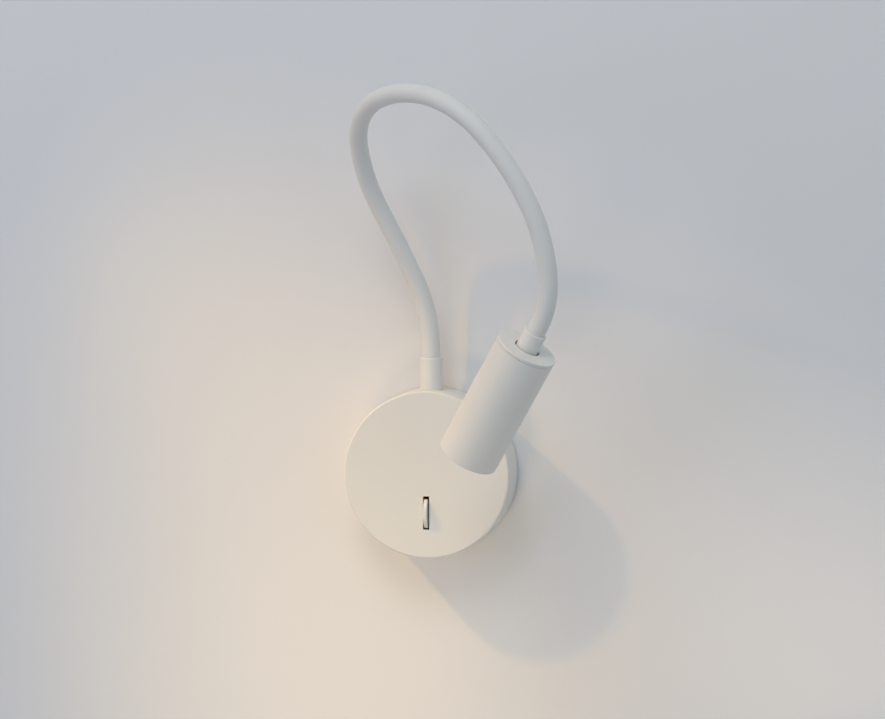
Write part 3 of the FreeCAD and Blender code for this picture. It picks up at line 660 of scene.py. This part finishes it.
# ---- the neck's middle line ----
@dataclass
class NeckLine:
    """The neck's middle line: a wire bender's list of turns, each with a roll before it.

    Attributes:
        foot: the first joint.
        link: length that turns as one.
        head_link: bent stretch fixed to the head.
        turns: degrees that each stretch turns by.
        rolls: degrees that the plane of each turn rolls by before it.
    """

    foot: Vector = field(default_factory=lambda: Vector((0.0, -12.5 * MM, 58.0 * MM)))
    link: float = 36.0 * MM
    head_link: float = 23.0 * MM
    turns: tuple[float, ...] = (26.0, 6.0, 31.0, 47.0, 31.0, 44.0, 19.0, 24.0, 31.0)
    rolls: tuple[float, ...] = (209.0, 49.0, 58.0, 6.0, -5.0, -2.0, -16.0, -15.0, 0.0)

    def __post_init__(self) -> None:
        """Works out where each stretch starts."""
        self.starts: list[Matrix] = []
        at = Matrix.Translation(self.foot)
        for number, roll in enumerate(self.rolls):
            at = at @ Matrix.Rotation(math.radians(roll), 4, "Z")
            self.starts.append(at)
            at = at @ self._along(number, self.length(number))

    def length(self, number: int) -> float:
        """Length of one stretch."""
        return self.head_link if number == len(self.turns) - 1 else self.link

    def _along(self, number: int, run: float) -> Matrix:
        """The step from a stretch's start to a point on it.

        Args:
            number: the stretch, from nought.
            run: how far along it the point is.

        Returns:
            The step, with the turn.
        """
        bend = self.length(number) / math.radians(self.turns[number])
        angle = run / bend
        shift = Vector((bend * (1 - math.cos(angle)), 0.0, bend * math.sin(angle)))
        return Matrix.Translation(shift) @ Matrix.Rotation(angle, 4, "Y")

    def total(self) -> float:
        """Length from the first joint to where the straight run into the head starts."""
        return self.link * (len(self.turns) - 1) + self.head_link

    def joint(self, number: int) -> float:
        """How far along the line joint number is, counted from nought."""
        return self.link * number

    def frame_at(self, run: float) -> Matrix:
        """Place and direction on the line, without the bender's rolls.

        Args:
            run: distance from the first joint, less than nought below it.

        Returns:
            A frame with +Z along the neck.
        """
        if run <= 0.0:
            return Matrix.Translation(self.foot + Vector((0.0, 0.0, run)))
        number = min(int(run // self.link), len(self.turns) - 1)
        spare = max(0.0, run - self.total())
        at = self.starts[number] @ self._along(number, run - spare - self.joint(number))
        rolled = math.radians(sum(self.rolls[:number + 1]))
        return at @ Matrix.Translation((0.0, 0.0, spare)) @ Matrix.Rotation(-rolled, 4, "Z")


LINE = NeckLine()
BODIES = ["base"] + [f"neck_{number}" for number in range(1, len(LINE.turns))] + ["head"]


# ---- sub-assemblies ----
Eased = dict[str, tuple[Finish, float]]
Plain = dict[str, Finish]


@dataclass
class Assembly:
    """A sub-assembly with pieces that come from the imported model.

    Attributes:
        eased: finish, and width of the eased edges, of each node that is made again.
        plain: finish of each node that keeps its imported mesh.
    """

    eased: Eased
    plain: Plain

    def build(self) -> None:
        """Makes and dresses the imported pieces."""
        for node, (finish, width) in self.eased.items():
            eased(node, finish, width)
        for node, finish in self.plain.items():
            dress(node, finish)


@dataclass(frozen=True)
class Layer:
    """One layer of the neck.

    Attributes:
        name: its stretches' name.
        stands_for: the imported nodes' name, or none.
        finish: what it is made of.
        outer: outside radius at a place on the line.
        inner: inside radius, nought for a solid one.
        sides: faces round it.
        step: between its rings.
        beyond: how far it runs past the last bend.
    """

    name: str
    stands_for: str
    finish: Finish
    outer: Callable[[float], float]
    inner: float
    sides: int
    step: float
    beyond: float


@dataclass
class Neck(Assembly):
    """The flexible neck: a soft sleeve over a steel core, with the lamp's lead inside.

    Attributes:
        sleeve_r: outside of the sleeve.
        sleeve_bore_r: inside of the sleeve.
        core_r: outside of the core.
        core_bore_r: inside of the core.
        wind_depth: how far the core's outside dips between its turns.
        wind_pitch: from one of its turns to the next.
        lead_r: outside of the lead.
        below: how far each layer runs below the first joint.
        beyond: how far the sleeve and the core run past the last bend.
        lead_into_head: how far the lead does.
        reach: each side of a joint, how far the neck bends with it.
        ferrule_top: where the neck leaves its foot's ferrule.
        board_y: front of the driver's board, where the lead starts.
        board_z: height at which it starts.
        lead_bend: its bend from the board up.
        bend_steps: points on that bend.
        sleeve_sides: faces round the sleeve.
        core_sides: faces round the core.
        lead_sides: faces round the lead.
        step: between the rings of a mesh.
    """

    eased: Eased = field(default_factory=lambda: {
        "foot_ferrule": (FITTING, 0.12 * MM), "head_ferrule": (FITTING, 0.12 * MM),
    })
    plain: Plain = field(default_factory=dict)
    sleeve_r: float = 4.25 * MM
    sleeve_bore_r: float = 3.0 * MM
    core_r: float = 2.95 * MM
    core_bore_r: float = 2.0 * MM
    wind_depth: float = 0.18 * MM
    wind_pitch: float = 2.0 * MM
    lead_r: float = 1.5 * MM
    below: float = 13.5 * MM
    beyond: float = 13.0 * MM
    lead_into_head: float = 40.0 * MM
    reach: float = 17.0 * MM
    ferrule_top: float = -3.0 * MM
    board_y: float = -6.4 * MM
    board_z: float = 12.7 * MM
    lead_bend: float = 2.5 * MM
    bend_steps: int = 8
    sleeve_sides: int = 48
    core_sides: int = 28
    lead_sides: int = 16
    step: float = 1.0 * MM

    def build(self) -> None:
        """Makes the sleeve, the core and the lead of every joint, and the ferrules."""
        for layer in (
            Layer("neck_skin", "neck_sleeve", SLEEVE, lambda run: self.sleeve_r,
                  self.sleeve_bore_r, self.sleeve_sides, self.step, self.beyond),
            Layer("neck_coil", "neck_core", CORE, self.coil_r,
                  self.core_bore_r, self.core_sides, self.step / 2, self.beyond),
            Layer("lead_run", "", LEAD, lambda run: self.lead_r,
                  0.0, self.lead_sides, self.step, self.lead_into_head),
        ):
            for number, (start, end) in enumerate(self.spans(layer.beyond)):
                piece = self.tube(f"{layer.name}_{number + 1}", layer, start, end)
                self.bend(piece, number)
                if layer.stands_for:
                    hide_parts(*self.nodes_for(layer.stands_for, number))
        super().build()
        self.lead_foot()
        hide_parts("lamp_lead")

    def tube(self, name: str, layer: Layer, start: float, end: float) -> bpy.types.Object:
        """A stretch of a layer along the neck.

        Args:
            name: the piece's name.
            layer: the layer.
            start: where it starts on the line.
            end: where it ends.

        Returns:
            The piece.
        """
        count = max(2, math.ceil((end - start) / layer.step))
        stops = [start + (end - start) * i / count for i in range(count + 1)]
        rings = [(LINE.frame_at(stop), layer.outer(stop)) for stop in stops]
        if layer.inner > 0.0:
            rings += [(LINE.frame_at(stop), layer.inner) for stop in reversed(stops)]
            faces = bands(len(rings), layer.sides, looped=True)
        else:
            faces = closed(len(rings), layer.sides)
        points = [at @ Vector((radius * c, radius * s, 0.0))
                  for at, radius in rings for c, s in around(layer.sides)]
        return made_of(name, points, faces, layer.finish)

    def spans(self, beyond: float) -> list[tuple[float, float]]:
        """One stretch of neck for each joint, from mid-link to mid-link.

        Args:
            beyond: how far the last one ends past the last bend.

        Returns:
            Start and end of each stretch.
        """
        middles = [LINE.joint(number) + LINE.link / 2 for number in range(len(LINE.turns) - 1)]
        return list(zip([-self.below] + middles, middles + [LINE.total() + beyond]))

    def bend(self, piece: bpy.types.Object, number: int) -> None:
        """Makes a stretch bend with its joint.

        Args:
            piece: the stretch.
            number: its joint, from nought.
        """
        at = LINE.joint(number)
        before = self.ferrule_top if number == 0 else at - self.reach
        start, end = LINE.frame_at(before).translation, LINE.frame_at(at + self.reach).translation
        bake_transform(piece, BODIES[number], BODIES[number + 1], start, end)

    def lead_foot(self) -> None:
        """The lead from the driver's board up to where the neck's first stretch starts."""
        corner = Vector((0.0, LINE.foot.y + self.lead_bend, self.board_z + self.lead_bend))
        path = [Vector((0.0, self.board_y, self.board_z))]
        for i in range(self.bend_steps + 1):
            turn = math.pi / 2 * i / self.bend_steps
            path.append(corner - Vector((0.0, math.sin(turn), math.cos(turn))) * self.lead_bend)
        path.append(LINE.foot - Vector((0.0, 0.0, self.below)))
        drawn("lead_foot", path, self.lead_r, LEAD, "base", self.lead_sides)

    def coil_r(self, run: float) -> float:
        """Outside of the wound core, a little less between its turns."""
        dip = 0.5 + 0.5 * math.cos(math.tau * run / self.wind_pitch)
        return self.core_r - self.wind_depth * dip

    def nodes_for(self, node: str, number: int) -> list[str]:
        """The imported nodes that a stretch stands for.

        Args:
            node: neck_sleeve or neck_core.
            number: the stretch's joint, from nought.

        Returns:
            The nodes' names.
        """
        kind = node.rpartition("_")[2]
        if number == 0:
            return [f"foot_{kind}"]
        at_head = number == len(LINE.turns) - 1
        return [f"{node}_{number}"] + ([f"head_{kind}"] if at_head else [])


@dataclass
class Base(Assembly):
    """The round base on the wall, with the terminals inside."""

    eased: Eased = field(default_factory=lambda: {
        "base_cover": (PAINT, 0.15 * MM), "wall_plate": (ZINC, 0.12 * MM),
        "earth_tag": (ZINC, 0.12 * MM), "neck_washer": (ZINC, 0.12 * MM),
        "neck_nut": (ZINC, 0.12 * MM), "cable_grommet": (RUBBER, 0.3 * MM),
        "terminal_block": (CLEAR, 0.2 * MM), "terminal_screws": (ZINC, 0.15 * MM),
    })
    plain: Plain = field(default_factory=lambda: {
        "cover_screw": ZINC, "terminal_clamps": BRASS, "earth_screw": ZINC, "base_wires": WIRES,
        "neck_nipple": ZINC,
    })


@dataclass
class Driver(Assembly):
    """The LED driver in its case: a board with a transformer and a capacitor.

    Attributes:
        core_edge: easing of the transformer core's edges.
        yoke: thickness of the core each side of the winding.
        shoulder: how far the winding rises from a yoke to its full size.
        winding: share of the coil's room that the winding fills, in a yoke, beside it, at its
            shoulder and in the middle.
        squareness: how square the winding's section is.
        winding_sides: faces round it.
        groove: depth of the roll round the capacitor's foot.
        can_foot: the can's outline from its foot, in from its side and up, in grooves.
        can_top: and to its top, in from its side and down from the top.
        can_sides: faces round the can.
    """

    eased: Eased = field(default_factory=lambda: {
        "driver_case": (PLASTIC, 0.3 * MM), "driver_lid": (PLASTIC, 0.15 * MM),
    })
    plain: Plain = field(default_factory=lambda: {"driver_board": BOARD})
    core_edge: float = 0.3 * MM
    yoke: float = 2.2 * MM
    shoulder: float = 0.4 * MM
    winding: tuple[float, float, float, float] = (0.80, 0.86, 0.96, 0.97)
    squareness: float = 5.0
    winding_sides: int = 40
    groove: float = 0.35 * MM
    can_foot: tuple[tuple[float, float], ...] = (
        (2.0, 0.0), (1.0, 0.2), (0.0, 1.0), (0.0, 3.0), (1.0, 4.0), (0.0, 5.0))
    can_top: tuple[tuple[float, float], ...] = ((0.0, 1.0), (1.0, 0.1), (2.4, 0.0), (2.6, 0.5))
    can_sides: int = 48

    def build(self) -> None:
        """Makes and dresses the driver."""
        super().build()
        self.transformer_core()
        self.transformer_winding()
        self.capacitor()

    @staticmethod
    def room(node: str) -> tuple[Vector, Vector]:
        """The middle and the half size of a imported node's box."""
        low, high = (Vector(corner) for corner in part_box(node))
        return (low + high) / 2, (high - low) / 2

    def transformer_core(self) -> None:
        """The core's two ends."""
        middle, half = self.room("driver_coil")
        corners: list[Vector] = []
        faces: list[Sequence[int]] = []
        box = ((0, 1, 3, 2), (4, 5, 7, 6), (0, 1, 5, 4), (2, 3, 7, 6), (0, 2, 6, 4), (1, 3, 7, 5))
        for side in (-1, 1):
            first = len(corners)
            corners += [middle + Vector((x, y * half.y, z * half.z))
                        for x in (side * half.x, side * (half.x - self.yoke))
                        for y in (-1, 1) for z in (-1, 1)]
            faces += [tuple(first + i for i in face) for face in box]
        core = made_of("transformer_core", corners, faces, COMPONENT)
        edge = core.modifiers.new("eased edges", "BEVEL")
        edge.width, edge.segments = self.core_edge, EASE_STEPS
        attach(core, "base")
        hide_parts("driver_coil")

    def transformer_winding(self) -> None:
        """The taped winding between them."""
        middle, half = self.room("driver_coil")
        in_yoke, beside_yoke, at_shoulder, in_middle = self.winding
        inside = half.x - self.yoke
        left = [(-half.x + self.yoke / 2, in_yoke), (-inside, beside_yoke),
                (self.shoulder - inside, at_shoulder)]
        outline = left + [(0.0, in_middle)] + [(-along, share) for along, share in reversed(left)]
        points = []
        for along, share in outline:
            for c, s in around(self.winding_sides):
                corner = abs(c) ** self.squareness + abs(s) ** self.squareness
                out = share / corner ** (1.0 / self.squareness)
                points.append(middle + Vector((along, c * out * half.y, s * out * half.z)))
        faces = closed(len(outline), self.winding_sides)
        winding = made_of("transformer_winding", points, faces, TAPE)
        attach(winding, "base")

    def capacitor(self) -> None:
        """The can, sleeved, with a roll near its foot."""
        middle, half = self.room("driver_capacitor")
        foot = middle.y + half.y
        g = self.groove
        profile = [(half.x - g * inward, g * up) for inward, up in self.can_foot]
        profile += [(half.x - g * inward, half.y * 2 - g * down) for inward, down in self.can_top]
        points = [Vector((middle.x + radius * c, foot - height, middle.z + radius * s))
                  for radius, height in profile for c, s in around(self.can_sides)]
        can = made_of("capacitor_can", points, closed(len(profile), self.can_sides), COMPONENT)
        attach(can, "base")
        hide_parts("driver_capacitor")


@dataclass
class Switch(Assembly):
    """The rocker switch in the base's front.

    Attributes:
        spring_turns: turns of the small spring behind the lever.
        spring_wire_r: half the spring's wire.
        turn_steps: points on each turn.
        wire_sides: faces round the wire.
    """

    eased: Eased = field(default_factory=lambda: {
        "rocker": (SWITCH, 0.22 * MM), "switch_housing": (BLACK, 0.2 * MM),
        "switch_blades": (BRASS, 0.1 * MM), "switch_contact": (BRASS, 0.08 * MM),
    })
    plain: Plain = field(default_factory=lambda: {"switch_pin": ZINC, "rocker_plunger": BRASS})
    spring_turns: float = 3.5
    spring_wire_r: float = 0.13 * MM
    turn_steps: int = 24
    wire_sides: int = 8

    def build(self) -> None:
        """Makes and dresses the switch."""
        super().build()
        self.spring()

    def spring(self) -> None:
        """The wound spring that pushes the plunger, in the plain sleeve's place."""
        packed = frame["nodes"]["rocker_spring"]
        corners = [Vector(vertex.co) for vertex in packed.data.vertices]
        middle = sum(corners, Vector()) / len(corners)
        nose = frame["nodes"]["rocker_plunger"].data.vertices
        tip = sum((Vector(vertex.co) for vertex in nose), Vector()) / len(nose)
        along = (tip - middle).normalized()
        heights = [(corner - middle).dot(along) for corner in corners]
        half = max(abs(height) for height in heights) - self.spring_wire_r
        outer = max((corner - middle - along * height).length
                    for corner, height in zip(corners, heights))
        across = along.orthogonal().normalized()
        beside = along.cross(across)
        steps = int(self.spring_turns * self.turn_steps)
        path = []
        for i in range(steps + 1):
            turn = math.tau * self.spring_turns * i / steps
            out = (across * math.cos(turn) + beside * math.sin(turn)) * (outer - self.spring_wire_r)
            path.append(middle + out + along * half * (2.0 * i / steps - 1.0))
        spring = drawn("spring_wire", path, self.spring_wire_r, ZINC, body_of(packed)[0],
                       self.wire_sides)
        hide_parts("rocker_spring")


@dataclass
class Head(Assembly):
    """The small round head with the LED behind a frosted lens."""

    eased: Eased = field(default_factory=lambda: {
        "head_tube": (PAINT, 0.12 * MM), "head_cap": (PAINT, 0.12 * MM),
        "front_ring": (PAINT, 0.12 * MM), "head_flange": (ZINC, 0.15 * MM),
        "flange_screws": (ZINC, 0.15 * MM), "head_nut": (ZINC, 0.15 * MM),
        "heat_sink": (ALUMINIUM, 0.15 * MM), "led_board": (LED_BOARD, 0.15 * MM),
        "led_chip": (LED, 0.15 * MM), "lens": (LENS, 0.15 * MM),
    })
    plain: Plain = field(default_factory=lambda: {"led_wires": LEAD, "reflector": PLASTIC})


# ---- the stage ----
def turn_to(thing: bpy.types.Object, at: Sequence[float], way: Sequence[float]) -> None:
    """Puts a lamp or the camera in its place.

    Args:
        thing: the lamp or the camera.
        at: where it stands.
        way: the direction that it looks in.
    """
    thing.location = Vector(at)
    thing.rotation_mode = "QUATERNION"
    thing.rotation_quaternion = Vector(way).to_track_quat("-Z", "Y")


@dataclass(frozen=True)
class Lamp:
    """A soft lamp, itself unseen.

    Attributes:
        name: its name.
        at: where it stands.
        size: its width.
        power: in watts.
        colour: of its light.
        to: what it points at.
        beam: width of its beam in degrees, nought for an open lamp.
    """

    name: str
    at: Place
    size: float
    power: float
    colour: Rgb
    to: Place = (0.0, -0.05, 0.05)
    beam: float = 0.0

    def light(self) -> None:
        """Sets the lamp up."""
        data = bpy.data.lights.new(self.name, "SPOT" if self.beam else "AREA")
        data.energy, data.color = self.power, self.colour
        if self.beam:
            data.spot_size, data.spot_blend = math.radians(self.beam), 1.0
            data.shadow_soft_size = self.size / 2
        else:
            data.shape, data.size = "DISK", self.size
        lamp = bpy.data.objects.new(self.name, data)
        bpy.context.scene.collection.objects.link(lamp)
        lamp.visible_camera = False
        turn_to(lamp, self.at, Vector(self.to) - Vector(self.at))


LAMPS = (
    Lamp("left lamp", (-0.8, -0.9, 0.15), 0.5, 1.05, (0.74, 0.72, 1.0)),
    Lamp("high front lamp", (-0.1, -0.9, 1.0), 0.7, 4.35, (1.0, 0.97, 0.91)),
    Lamp("right lamp", (1.0, -0.9, 0.2), 0.7, 0.6, (0.95, 0.97, 1.0)),
    Lamp("near beam", (-0.333, -0.19, 0.323), 0.03, 0.35, (1.0, 0.77, 0.10),
         (-0.01, 0.0, -0.06), 40.0),
    Lamp("far beam", (-0.5, -0.275, 0.49), 0.025, 4.7, (1.0, 0.52, 0.05),
         (0.11, 0.0, -0.10), 28.0),
    Lamp("long beam", (-0.5, -0.275, 0.49), 0.025, 3.9, (1.0, 0.61, 0.20),
         (0.04, 0.0, -0.20), 28.0),
    Lamp("low beam", (-0.15, -0.5, -0.35), 0.2, 4.75, (1.0, 0.70, 0.30),
         (-0.05, 0.0, -0.12), 40.0),
    Lamp("corner beam", (0.36, -0.5, -0.30), 0.1, 2.6, (1.0, 0.80, 0.55),
         (0.22, 0.0, -0.09), 25.0),
)


@dataclass
class Stage:
    """A plain pale wall and floor, soft lamps, an even cool sky and the camera.

    Attributes:
        wall_back: the wall's face behind the lamp's back.
        opening_r: round opening in the wall behind the base.
        near_r: the wall's middle ring.
        reach: how far the wall and the floor run each way.
        wall_sides: points in each of the wall's rings.
        floor_z: the floor's height.
        wall_colour: the wall's paint.
        wall_mottle: its darkest share.
        wall_blotch: how large its lighter and darker places are.
        floor_colours: the floor's two tones.
        floor_blotch: how large their places are.
        floor_seen: the tone that the camera sees on it.
        floor_share: how far it sees that tone.
        sky_light: colour of the sky's light.
        sky_seen: the colour that the camera and reflections see.
        sky_strength: of the light.
        sky_more: how much stronger it looks.
        camera_at: where the camera stands.
        camera_way: the direction that it looks in.
        lens: its focal length in millimetres.
        sensor: its sensor's width.
        clips: nearest and furthest that it sees.
    """

    wall_back: float = 0.3 * MM
    opening_r: float = 36.0 * MM
    near_r: float = 0.2
    reach: float = 3.0
    wall_sides: int = 96
    floor_z: float = -0.6
    wall_colour: Rgb = (0.81, 0.81, 0.83)
    wall_mottle: float = 0.985
    wall_blotch: float = 0.05
    floor_colours: tuple[Rgb, Rgb] = ((0.70, 0.69, 0.68), (0.72, 0.71, 0.70))
    floor_blotch: float = 0.2
    floor_seen: Rgb = (0.78, 0.775, 0.77)
    floor_share: float = 0.75
    sky_light: Rgb = (0.83, 0.93, 1.0)
    sky_seen: Rgb = (0.86, 0.86, 0.87)
    sky_strength: float = 0.437
    sky_more: float = 0.5
    camera_at: Place = (0.23743, -1.16697, 0.14770)
    camera_way: Place = (-0.19635, 0.97733, -0.07916)
    lens: float = 100.6
    sensor: float = 36.0
    clips: tuple[float, float] = (0.01, 20.0)

    def build(self) -> None:
        """Sets the whole stage."""
        self.wall()
        self.floor()
        for lamp in LAMPS:
            lamp.light()
        self.sky()
        self.camera()
        bpy.context.scene.view_settings.view_transform = "Standard"

    @staticmethod
    def sheet(name: str, points: Sequence[Vector], faces: Sequence[Sequence[int]],
              facing: Vector) -> tuple[bpy.types.Object, Graph]:
        """A flat piece of the stage with an empty paint.

        Args:
            name: its name.
            points: its corners.
            faces: its faces, by corner number.
            facing: the way that its painted side faces.

        Returns:
            The piece, and its paint's graph.
        """
        mesh = bpy.data.meshes.new(name)
        mesh.from_pydata([tuple(point) for point in points], [], faces)
        if mesh.polygons[0].normal.dot(facing) < 0:
            mesh.flip_normals()
        sheet = bpy.data.objects.new(name, mesh)
        bpy.context.scene.collection.objects.link(sheet)
        paint = bpy.data.materials.new(f"{name} paint")
        mesh.materials.append(paint)
        return sheet, Graph(paint)

    def wall(self) -> None:
        """The wall, with an opening behind the base, and unseen from behind."""
        radii = (self.opening_r, self.near_r, self.reach)
        points = [Vector((radius * c, self.wall_back, radius * s))
                  for radius in radii for c, s in around(self.wall_sides)]
        wall, graph = self.sheet("wall", points, bands(len(radii), self.wall_sides),
                                 Vector((0.0, -1.0, 0.0)))
        darkest = tuple(channel * self.wall_mottle for channel in self.wall_colour)
        tone = graph.mixed(graph.noise(self.wall_blotch, MORE), darkest, self.wall_colour)
        face = graph.node("ShaderNodeBsdfDiffuse", None, {"Color": tone}).outputs[0]
        clear = graph.node("ShaderNodeBsdfTransparent").outputs[0]
        behind = graph.node("ShaderNodeNewGeometry").outputs["Backfacing"]
        inputs = {0: behind, 1: face, 2: clear}
        graph.output(graph.node("ShaderNodeMixShader", None, inputs).outputs[0])

    def floor(self) -> None:
        """The floor."""
        points = [Vector((x * self.reach, y * self.reach, self.floor_z))
                  for x, y in ((-1, -1), (1, -1), (1, 1), (-1, 1))]
        floor, graph = self.sheet("floor", points, [(0, 1, 2, 3)], Vector((0.0, 0.0, 1.0)))
        tone = graph.mixed(graph.noise(self.floor_blotch, MORE), *self.floor_colours)
        face = graph.node("ShaderNodeBsdfDiffuse", None, {"Color": tone}).outputs[0]
        pale = graph.node("ShaderNodeEmission", None, {"Color": (*self.floor_seen, 1.0)}).outputs[0]
        rays = graph.node("ShaderNodeLightPath").outputs
        seen = Value(graph, rays["Is Camera Ray"]) * self.floor_share
        inputs = {0: seen, 1: face, 2: pale}
        graph.output(graph.node("ShaderNodeMixShader", None, inputs).outputs[0])

    def sky(self) -> None:
        """The even light from all round, paler where it is seen."""
        world = bpy.data.worlds.new("sky")
        bpy.context.scene.world = world
        graph = Graph(world)
        rays = graph.node("ShaderNodeLightPath").outputs
        seen = (Value(graph, rays["Is Camera Ray"]) + Value(graph, rays["Is Glossy Ray"])
                + Value(graph, rays["Is Transmission Ray"])).clamped()
        inputs = {"Color": graph.mixed(seen, self.sky_light, self.sky_seen),
                  "Strength": seen * self.sky_more + self.sky_strength}
        graph.output(graph.node("ShaderNodeBackground", None, inputs).outputs[0],
                     "ShaderNodeOutputWorld")

    def camera(self) -> None:
        """The camera, at the photograph's viewing angle."""
        data = bpy.data.cameras.new("camera")
        data.lens, data.sensor_width = self.lens, self.sensor
        data.clip_start, data.clip_end = self.clips
        camera = bpy.data.objects.new("camera", data)
        bpy.context.scene.collection.objects.link(camera)
        turn_to(camera, self.camera_at, self.camera_way)
        bpy.context.scene.camera = camera


def main() -> None:
    """Builds the lamp's sub-assemblies and the stage."""
    logging.basicConfig(level=logging.INFO, format="%(name)s: %(message)s")
    for part in (Base(), Driver(), Switch(), Neck(), Head(), Stage()):
        part.build()
        log.info("%s is done", type(part).__name__)


if __name__ == "__main__":
    main()
